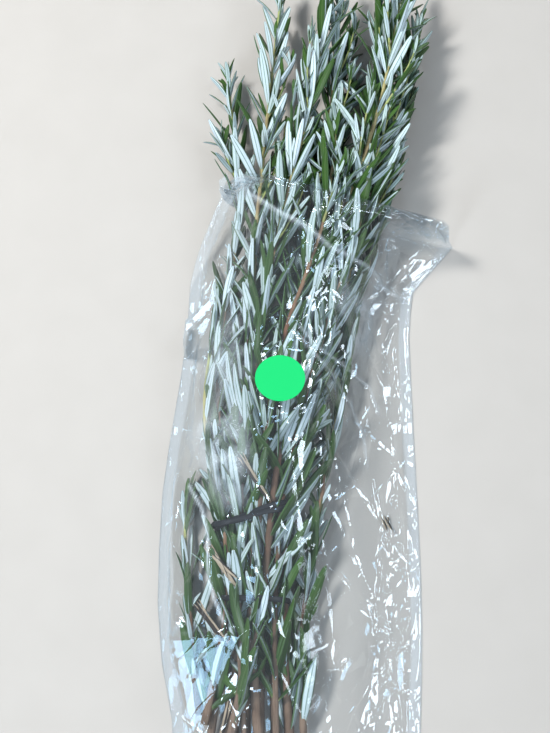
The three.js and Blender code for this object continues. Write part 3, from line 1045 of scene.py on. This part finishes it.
def dentHeight(place):
    total = 0.0
    for index, (x, y, radius, depth, count) in enumerate(dents):
        aside = place - fromLabel(x, y)
        share = aside.length / (radius * mm)
        if share < 1:
            angle = math.atan2(aside.y, aside.x) + 0.5 * noise.noise(place * 90) + index
            fold = abs((angle * count / (2 * math.pi) + 40) % 1.0 * 2 - 1)
            total += (fold * (1 - share) * min(1, share * 2.5) - 0.35 * (1 - share)) * depth * mm
    return total


# the ridges of the single creases and of the long arcs; both waver a little
def creaseHeight(place):
    wobble = 0.5 * noise.noise(place * 160) * mm
    total = 0.0
    for x1, y1, x2, y2, half, height in creases:
        share, away = nearestShare(place, fromLabel(x1, y1), fromLabel(x2, y2))
        fade = math.sin(math.pi * min(0.97, max(0.05, share))) ** 0.4
        total += max(0.0, 1 - (away + wobble) / (half * mm)) * height * mm * fade
    for points, half, height in arcs:
        ends = [(fromLabel(*a), fromLabel(*b)) for a, b in zip(points, points[1:])]
        nearest = min(nearestShare(place, start, end)[1] for start, end in ends)
        total += max(0.0, 1 - (nearest + wobble * 0.3) / (half * mm)) * height * mm
    return total


def crumpled(x, y):
    place = Vector((x, y, 0))
    return foldHeight(x, y) + creaseHeight(place) + dentHeight(place)


# shifts of the mouth's two corners beyond the plain solid: left corner and right flare, in mm
corners = {
    "left": (8.5, 5.0),
    "right": (4.5, 5.0),
    "from": 0.86,  # share of the sleeve's length where the shift starts
    "leftLift": 13,  # how far the left seam rises, and from where to where it does
    "liftFrom": 52,
    "liftTo": 104,
}


def filmPlace(across, along):
    y = mix(sleeveLow.y, sleeveHigh.y, along)
    for _ in range(8):
        left, right = sideAt(y)
        x = mix(left, right, across)
        y = mix(sleeveLow.y, mouthAt(x), along)
    near = smoothStep(corners["from"], 1, along)
    x += (corners["left"][0] * (1 - across) ** 2 + corners["right"][0] * across ** 4) * near * mm
    y += (corners["left"][1] * (1 - across) ** 3 + corners["right"][1] * across ** 4) * near * mm
    return x, y


# near the mouth the left seam leaves the floor and rises with the sprigs
def seamLift(across, y):
    rise = smoothStep(corners["liftFrom"], corners["liftTo"], (y - labelCentre.y) / mm)
    return corners["leftLift"] * mm * rise * (1 if across < 0.5 else 0)


# the highest leaf in each small square, so that the film lies on the leaves
leafCell = 2.5 * mm


def leafHeights():
    heights = {}
    for piece in bpy.data.objects:
        if piece.name.endswith(("_leaves", "_dried")):
            points = np.empty(len(piece.data.vertices) * 3)
            piece.data.vertices.foreach_get("co", points)
            for x, y, z in points.reshape(-1, 3):
                if y > mouthAt(x) - 2 * mm:
                    continue
                key = (round(x / leafCell), round(y / leafCell))
                if z > heights.get(key, 0):
                    heights[key] = z
    return heights


heights = leafHeights()


def overLeaves(x, y):
    column, row = round(x / leafCell), round(y / leafCell)
    return max(heights.get((column + i, row + j), 0) for i in (-1, 0, 1) for j in (-1, 0, 1))


def smoothTop(x, y):
    found = []
    for dx, dy in ((0, 0), (5, 0), (-5, 0), (0, 6), (0, -6)):
        top = filmTop(x + dx * mm, y + dy * mm)
        if top is not None:
            found.append(top)
    return sum(found) / len(found) if found else 0.8 * mm


# the label's flat place on the film leans back a little towards the mouth; settleLabel adds its height
labelRest = {"slope": -0.26, "flat": 13.5 * mm, "fades": 32 * mm, "reach": 13 * mm}


def labelPlane(y):
    return labelRest["height"] + labelRest["slope"] * (y - labelCentre.y)


def settleLabel():
    top = 0.0
    for i in range(-6, 7):
        for j in range(-6, 7):
            dx, dy = i * 2 * mm, j * 2 * mm
            if dx * dx + dy * dy < labelRest["reach"] ** 2:
                high = overLeaves(labelCentre.x + dx, labelCentre.y + dy)
                top = max(top, high - labelRest["slope"] * dy)
    labelRest["height"] = max(top + filmLook["aboveLeaves"], smoothTop(labelCentre.x, labelCentre.y))


# for each place of a grid, what pick finds among its neighbours
def around(values, reach, pick):
    wide = 2 * reach + 1
    padded = np.pad(values, reach, mode="edge")
    return pick(np.lib.stride_tricks.sliding_window_view(padded, (wide, wide)), axis=(2, 3))


# the film touches only the highest leaves and hangs smoothly between them
def drape(base, leaves):
    over = around(around(leaves, 3, np.max), 3, np.mean)
    high = np.maximum(base, over)
    return around(around(high, 1, np.mean), 1, np.mean)


# flat facets of the crumpled film: corners in mm from the label, and height
facets = [
    (((-57, -121), (-13, -119), (-42, -180)), 12),
    (((-58, 32), (-36, 54), (-31, 44), (-52, 20)), 8),
]


# 1 inside a polygon with its corners in order, fading to 0 at its edges
def insideShare(x, y, edges):
    share = np.ones(x.shape)
    points = [fromLabel(*corner) for corner in edges]
    middle = sum(points, Vector()) / len(points)
    for start, end in zip(points, points[1:] + points[:1]):
        run = (end - start).normalized()
        side = (x - start.x) * run.y - (y - start.y) * run.x
        if (middle.x - start.x) * run.y - (middle.y - start.y) * run.x < 0:
            side = -side
        share = np.minimum(share, smoothGrid(0, 3 * mm, side))
    return share


def filmTopHeights(x, y, fromEdge, lift):
    base, leaves, rough = (np.zeros(x.shape) for _ in range(3))
    for place in np.ndindex(x.shape):
        base[place] = smoothTop(x[place], y[place]) + 0.3 * mm
        if fromEdge[place] > 5 * mm:
            leaves[place] = overLeaves(x[place], y[place]) + filmLook["aboveLeaves"]
        rough[place] = crumpled(x[place], y[place])
    inside = smoothGrid(1 * mm, 9 * mm, fromEdge)
    z = drape(base, leaves)
    z += rough
    z = (0.9 * mm + lift + rough * 0.25) * (1 - inside) + z * inside
    for edges, height in facets:
        share = insideShare(x, y, edges)
        touched = leaves[share > 0.5]
        flat = max(height * mm, touched.max() - 0.6 * mm if touched.size else 0)
        z = z * (1 - share) + flat * share
    z = np.maximum(z, leaves - 1.2 * mm)
    away = np.hypot(x - labelCentre.x, y - labelCentre.y)
    rest = 1 - smoothGrid(labelRest["flat"], labelRest["fades"], away)
    z = z * (1 - rest) + labelPlane(y) * rest
    return np.maximum(0.75 * mm + lift * (1 - inside), z)


# sharp folds show as whitened lines, partly frosting of the film and partly a painted highlight that
# stands in for glints on the creases: their points in mm from the label, strength and half width in mm
frostedGlintLines = [
    (foldEdge, 2.5, 1.8),
    (leftCrease, 3.6, 1.1),
    (upperSweep, 2.4, 1.0),
    (lowerSweep + [(45, -40)], 2.0, 1.0),
    ([(-54, -44), (-56, -70), (-54, -100), (-57, -122)], 1.8, 1.0),
]


def alongFolds(x, y):
    share = np.zeros(x.shape)
    for points, strength, half in frostedGlintLines:
        places = [fromLabel(*point) for point in points]
        for place in np.ndindex(x.shape):
            spot = Vector((x[place], y[place], 0))
            away = min(nearestShare(spot, a, b)[1] for a, b in zip(places, places[1:]))
            share[place] = max(share[place], strength * (1 - away / (half * mm)))
    return share


# below the fold the film is double, and a little less clear
def belowFold(x, y):
    fold = labelCentre.y + mm * np.interp((x - labelCentre.x) / mm, *zip(*foldEdge))
    return smoothGrid(0, 1.5 * mm, fold - y)


# a new sheet of vertices, their order in rows, and how far across and along each lies, from 0 to 1
def sheetGrid(bm):
    columns, rows = filmLook["columns"], filmLook["rows"]
    verts = bmesh.ops.create_grid(bm, x_segments=columns, y_segments=rows, size=0.5)["verts"]
    across = np.array([vert.co.x + 0.5 for vert in verts])
    along = np.array([vert.co.y + 0.5 for vert in verts])
    order = np.lexsort((across.round(5), along.round(5)))
    grid = order.reshape(-1, len(set(across.round(5))))
    return verts, grid, across[grid], along[grid]


def filmLowHeights(x, y, fromEdge, lift):
    z = filmLook["lowerSheet"] + lift * (1 - smoothGrid(0, 12 * mm, x - x[:, :1]))
    waves = [0.5 + noise.noise(Vector((a, b, 1)) * 60) for a, b in zip(x.flat, y.flat)]
    return z + np.array(waves).reshape(z.shape) * 0.25 * mm * (fromEdge > 4 * mm)


def filmSheet(bm, upper):
    look = filmLook
    layer = bm.verts.layers.float.get("seam") or bm.verts.layers.float.new("seam")
    flatLayer = bm.verts.layers.float.get("facet") or bm.verts.layers.float.new("facet")
    verts, grid, across, along = sheetGrid(bm)
    x, y, lift = (np.zeros(across.shape) for _ in range(3))
    for place in np.ndindex(across.shape):
        x[place], y[place] = filmPlace(across[place], along[place])
        lift[place] = seamLift(across[place], y[place])
    fromEdge = np.minimum(np.minimum(x - x[:, :1], x[:, -1:] - x), (y - sleeveLow.y) * 1.2)
    z = (filmTopHeights if upper else filmLowHeights)(x, y, fromEdge, lift)
    rim = (np.minimum(across, 1 - across) < 1e-5) | (along < 1e-5)
    z = np.where(rim, look["rim"] + lift, z)
    seam = 1 - smoothGrid(*look["seamWidth"], fromEdge)
    flat = np.zeros(x.shape)
    if upper:
        # the whitened fold lines added here are partly a painted highlight
        seam = np.maximum(np.maximum(seam, alongFolds(x, y)), look["belowFold"] * belowFold(x, y))
        flat = np.max([insideShare(x, y, edges) for edges, height in facets], axis=0)
    for place in np.ndindex(across.shape):
        vert = verts[grid[place]]
        vert.co = Vector((x[place], y[place], z[place]))
        vert[layer] = seam[place]
        vert[flatLayer] = flat[place]


# where the film clings to wet leaves and hardly shines: x and y from the label's centre, radius in mm
clingPatches = [(14, -100, 22), (15, -146, 18), (26, 68, 15)]
# misted patches on the film: x and y from the label's centre, radius in mm, strength
fogPatches = [(-30, -26, 19, 0.42), (-24, -46, 16, 0.36), (-28, 14, 20, 0.26), (38, 36, 16, 0.34)]


# 1 in the middle of a patch that is longer along the sleeve, 0 outside it
def nearPatch(tree, x, y, radius):
    centre = fromLabel(x, y)
    drawn = 0.7
    place = addNode(tree, "TexCoord").outputs["Object"]
    flat = addNode(tree, "Mapping", {"Vector": place, "Scale": (1, drawn, 0)}).outputs[0]
    away = addNode(tree, "VectorMath", {0: flat, 1: (centre.x, centre.y * drawn, 0)},
                   operation="DISTANCE").outputs["Value"]
    return mathNode(tree, "SUBTRACT", 1.0, stepNode(tree, away, radius * 0.3 * mm, radius * mm))


# fine crinkles: bumps along the edges of stretched cells, calmer on the flat facets
def crinkleBump(tree, where):
    look = filmLook
    warp = addNode(tree, "TexNoise", {"Vector": where, "Scale": 30.0, "Detail": 2.0}).outputs["Color"]
    small = addNode(tree, "VectorMath", {0: warp, 1: (0.01, 0.01, 0.01)}, operation="MULTIPLY")
    warped = addNode(tree, "VectorMath", {0: where, 1: small.outputs[0]}, operation="ADD").outputs[0]
    facet = addNode(tree, "Attribute", attribute_name="facet").outputs["Fac"]
    calm = mathNode(tree, "MULTIPLY", facet, look["facetCalm"])
    strength = mathNode(tree, "SUBTRACT", 1.0, calm)
    bump = None
    for scale, stretch, direction, width, height in look["crinkles"]:
        turned = addNode(tree, "VectorRotate", {"Vector": warped, "Angle": math.radians(direction)},
                         rotation_type="Z_AXIS").outputs[0]
        drawn = addNode(tree, "Mapping", {"Vector": turned, "Scale": (1, 1 / stretch, 0.5)}).outputs[0]
        cells = addNode(tree, "TexVoronoi", {"Vector": drawn, "Scale": float(scale)},
                        feature="DISTANCE_TO_EDGE").outputs["Distance"]
        edge = addNode(tree, "MapRange", {"Value": cells, "From Max": width}).outputs[0]
        inputs = {"Height": edge, "Strength": strength, "Distance": height * mm * 0.4}
        if bump is not None:
            inputs["Normal"] = bump
        bump = addNode(tree, "Bump", inputs).outputs[0]
    return bump


# how milky the film is: a faint haze, the seams, the folds (there partly a painted highlight) and the
# misted patches
def filmVeil(tree, where):
    look = filmLook
    seam = addNode(tree, "Attribute", attribute_name="seam").outputs["Fac"]
    veil = mathNode(tree, "ADD", mathNode(tree, "MULTIPLY", seam, look["seamHaze"]), look["haze"])
    beads = addNode(tree, "TexVoronoi", {"Vector": where, "Scale": 900.0}).outputs["Distance"]
    beads = mathNode(tree, "SUBTRACT", 1.0, stepNode(tree, beads, 0.12, 0.5))
    cloud = stepNode(tree, noiseNode(tree, 75, 5).outputs["Fac"], 0.28, 0.70)
    grain = addNode(tree, "MapRange", {"Value": beads, "To Min": 0.6, "To Max": 1.0}).outputs[0]
    for x, y, radius, amount in fogPatches:
        near = nearPatch(tree, x, y, radius)
        patch = mathNode(tree, "MULTIPLY", mathNode(tree, "MULTIPLY", near, amount),
                         mathNode(tree, "MULTIPLY", cloud, grain))
        veil = mathNode(tree, "ADD", veil, patch, clamp=True)
    return veil


# the share reflected is the same from both sides, and grows at low angles
def filmMirror(tree, bump):
    look = filmLook
    facing = addNode(tree, "LayerWeight", {"Blend": 0.5, "Normal": bump}).outputs["Facing"]
    mirror = mathNode(tree, "POWER", facing, look["edgeMirror"])
    mirror = mathNode(tree, "MULTIPLY", mirror, 1 - look["mirror"])
    mirror = mathNode(tree, "ADD", mirror, look["mirror"], clamp=True)
    for x, y, radius in clingPatches:
        cling = mathNode(tree, "MULTIPLY", nearPatch(tree, x, y, radius), look["clingDull"])
        mirror = mathNode(tree, "MULTIPLY", mirror, mathNode(tree, "SUBTRACT", 1.0, cling))
    return mirror


def filmMaterial():
    look = filmLook
    material, tree = newMaterial("clear_film")
    where = addNode(tree, "TexCoord").outputs["Object"]
    bump = crinkleBump(tree, where)
    veil, mirror = filmVeil(tree, where), filmMirror(tree, bump)
    clear = addNode(tree, "BsdfTransparent", {"Color": (*look["tint"], 1)})
    gloss = addNode(tree, "BsdfGlossy", {
        "Color": (*look["shine"], 1),
        "Roughness": look["roughness"],
        "Normal": bump,
    })
    sheet = addNode(tree, "MixShader", {0: mirror, 1: clear.outputs[0], 2: gloss.outputs[0]})
    milk = addNode(tree, "BsdfDiffuse", {"Color": (*look["milk"], 1)})
    shader = addNode(tree, "MixShader", {0: veil, 1: sheet.outputs[0], 2: milk.outputs[0]})
    finishSurface(tree, shader.outputs[0])
    return material


def makeSleeve():
    bm = bmesh.new()
    filmSheet(bm, True)
    filmSheet(bm, False)
    bmesh.ops.remove_doubles(bm, verts=bm.verts, dist=0.0004 * mm)
    bmesh.ops.recalc_face_normals(bm, faces=bm.faces)
    newPiece("sleeve_film", bm, filmMaterial(), ["sleeve"])


settleLabel()
makeSleeve()
print("film sleeve made")


labelLook = {
    "radius": 12.4 * mm,
    "thickness": 0.15 * mm,
    "aboveFilm": 0.35 * mm,
    "paper": (0.0078, 0.42, 0.115),
    "grain": (0.0088, 0.465, 0.14),
    "paintedGlow": (0.0, 0.8, 0.12),  # painted light: the paper glows a little, so that its green is brighter than plain paint can be
    "paintedGlowStrength": 0.07,
}


def labelMaterial():
    material, tree = newMaterial("label_paper")
    fibre = noiseNode(tree, 1200, 3).outputs["Fac"]
    share = mathNode(tree, "MULTIPLY", fibre, 0.25)
    colour = mixColour(tree, share, labelLook["paper"], labelLook["grain"])
    shader = addNode(tree, "BsdfPrincipled", {
        "Base Color": colour,
        "Roughness": 0.6,
        "Specular IOR Level": 0.25,
        "Normal": bumpNode(tree, fibre, 0.15, 0.0001),
        # painted light: the label glows by an emission of its own, though it is no lamp
        "Emission Color": (*labelLook["paintedGlow"], 1),
        "Emission Strength": labelLook["paintedGlowStrength"],
    })
    finishSurface(tree, shader.outputs[0])
    return material


def makeLabel():
    bm = bmesh.new()
    bmesh.ops.create_circle(bm, cap_ends=True, segments=64, radius=labelLook["radius"])
    bmesh.ops.solidify(bm, geom=bm.faces[:], thickness=labelLook["thickness"])
    bmesh.ops.recalc_face_normals(bm, faces=bm.faces)
    for vert in bm.verts:
        x, y = labelCentre.x + vert.co.x, labelCentre.y + vert.co.y
        vert.co = Vector((x, y, labelPlane(y) + labelLook["aboveFilm"] + vert.co.z))
    newPiece("label_sticker", bm, labelMaterial(), ["label"], smooth=False)


makeLabel()
print("label made")


floorLook = {"size": 4, "dark": (0.395, 0.38, 0.36), "light": (0.425, 0.41, 0.39), "roughness": 0.75}


def makeStage():
    bm = bmesh.new()
    bmesh.ops.create_grid(bm, x_segments=1, y_segments=1, size=floorLook["size"])
    mesh = bpy.data.meshes.new("floor")
    bm.to_mesh(mesh)
    bm.free()
    floor = bpy.data.objects.new("floor", mesh)
    bpy.context.scene.collection.objects.link(floor)
    material, tree = newMaterial("pale_floor")
    grain = noiseNode(tree, 40, 3).outputs["Fac"]
    colour = mixColour(tree, grain, floorLook["dark"], floorLook["light"])
    shader = addNode(tree, "BsdfPrincipled", {
        "Base Color": colour,
        "Roughness": floorLook["roughness"],
    })
    finishSurface(tree, shader.outputs[0])
    mesh.materials.append(material)


lights = [  # name, place and aim in metres, size, watts, colour
    ("key", (-0.65, 0.35, 1.05), (0, 0, 0), (0.26, 0.20), 21.5, (1.0, 0.985, 0.96)),
    ("fill", (0.85, -0.20, 0.85), (0, 0, 0), (0.4, 0.3), 4.5, (0.86, 0.93, 1.0)),
    ("top", (0.30, 0.80, 1.0), (0, 0, 0), (0.30, 0.10), 1.4, (1, 1, 1)),
    ("window", (-0.50, -0.65, 0.75), (0, -0.1, 0), (0.2, 0.4), 5, (0.80, 0.90, 1.0)),
    ("strip", (0.50, 0.25, 1.0), (0, 0, 0), (0.09, 0.5), 2.1, (0.82, 0.91, 1)),
    ("pane", (-0.119, -0.195, 1.0), (-0.053, -0.151, 0.03), (0.13, 0.17), 0.5, (0.48, 0.75, 1.0)),
    ("skylight", (-0.135, 0.33, 1.0), (-0.135, 0.33, 0), (0.09, 0.11), 0.4, (0.62, 0.82, 1.0)),
]


skyLook = {"colour": (0.92, 0.95, 1.0), "strength": 0.18}


def makeLights():
    for name, place, aim, size, power, colour in lights:
        data = bpy.data.lights.new(name, "AREA")
        data.shape = "RECTANGLE"
        data.size, data.size_y = size
        data.energy = power
        data.color = colour
        lamp = bpy.data.objects.new(name, data)
        lamp.location = place
        lamp.rotation_euler = (Vector(aim) - Vector(place)).to_track_quat("-Z", "Y").to_euler()
        lamp.visible_glossy = name != "key"  # the main light is soft and leaves no mirror image
        bpy.context.scene.collection.objects.link(lamp)
    world = bpy.data.worlds.new("studio")
    world.use_nodes = True
    sky = world.node_tree.nodes["Background"].inputs
    sky["Color"].default_value = (*skyLook["colour"], 1)
    sky["Strength"].default_value = skyLook["strength"]
    bpy.context.scene.world = world
    bpy.context.scene.view_settings.view_transform = "Standard"


cameraLook = {"elevation": 76, "distance": 0.55, "lens": 50, "sensor": 36, "aim": (-2.5, 17)}


def makeCamera():
    data = bpy.data.cameras.new("camera")
    data.lens = cameraLook["lens"]
    data.sensor_fit = "VERTICAL"
    data.sensor_height = cameraLook["sensor"]
    data.clip_start = 0.01
    camera = bpy.data.objects.new("camera", data)
    aim = fromLabel(*cameraLook["aim"])
    up = math.radians(cameraLook["elevation"])
    camera.location = aim + Vector((0, -math.cos(up), math.sin(up))) * cameraLook["distance"]
    camera.rotation_euler = (aim - camera.location).to_track_quat("-Z", "Y").to_euler()
    bpy.context.scene.collection.objects.link(camera)
    bpy.context.scene.camera = camera


makeStage()
makeLights()
makeCamera()
print("stage, lights and camera set")
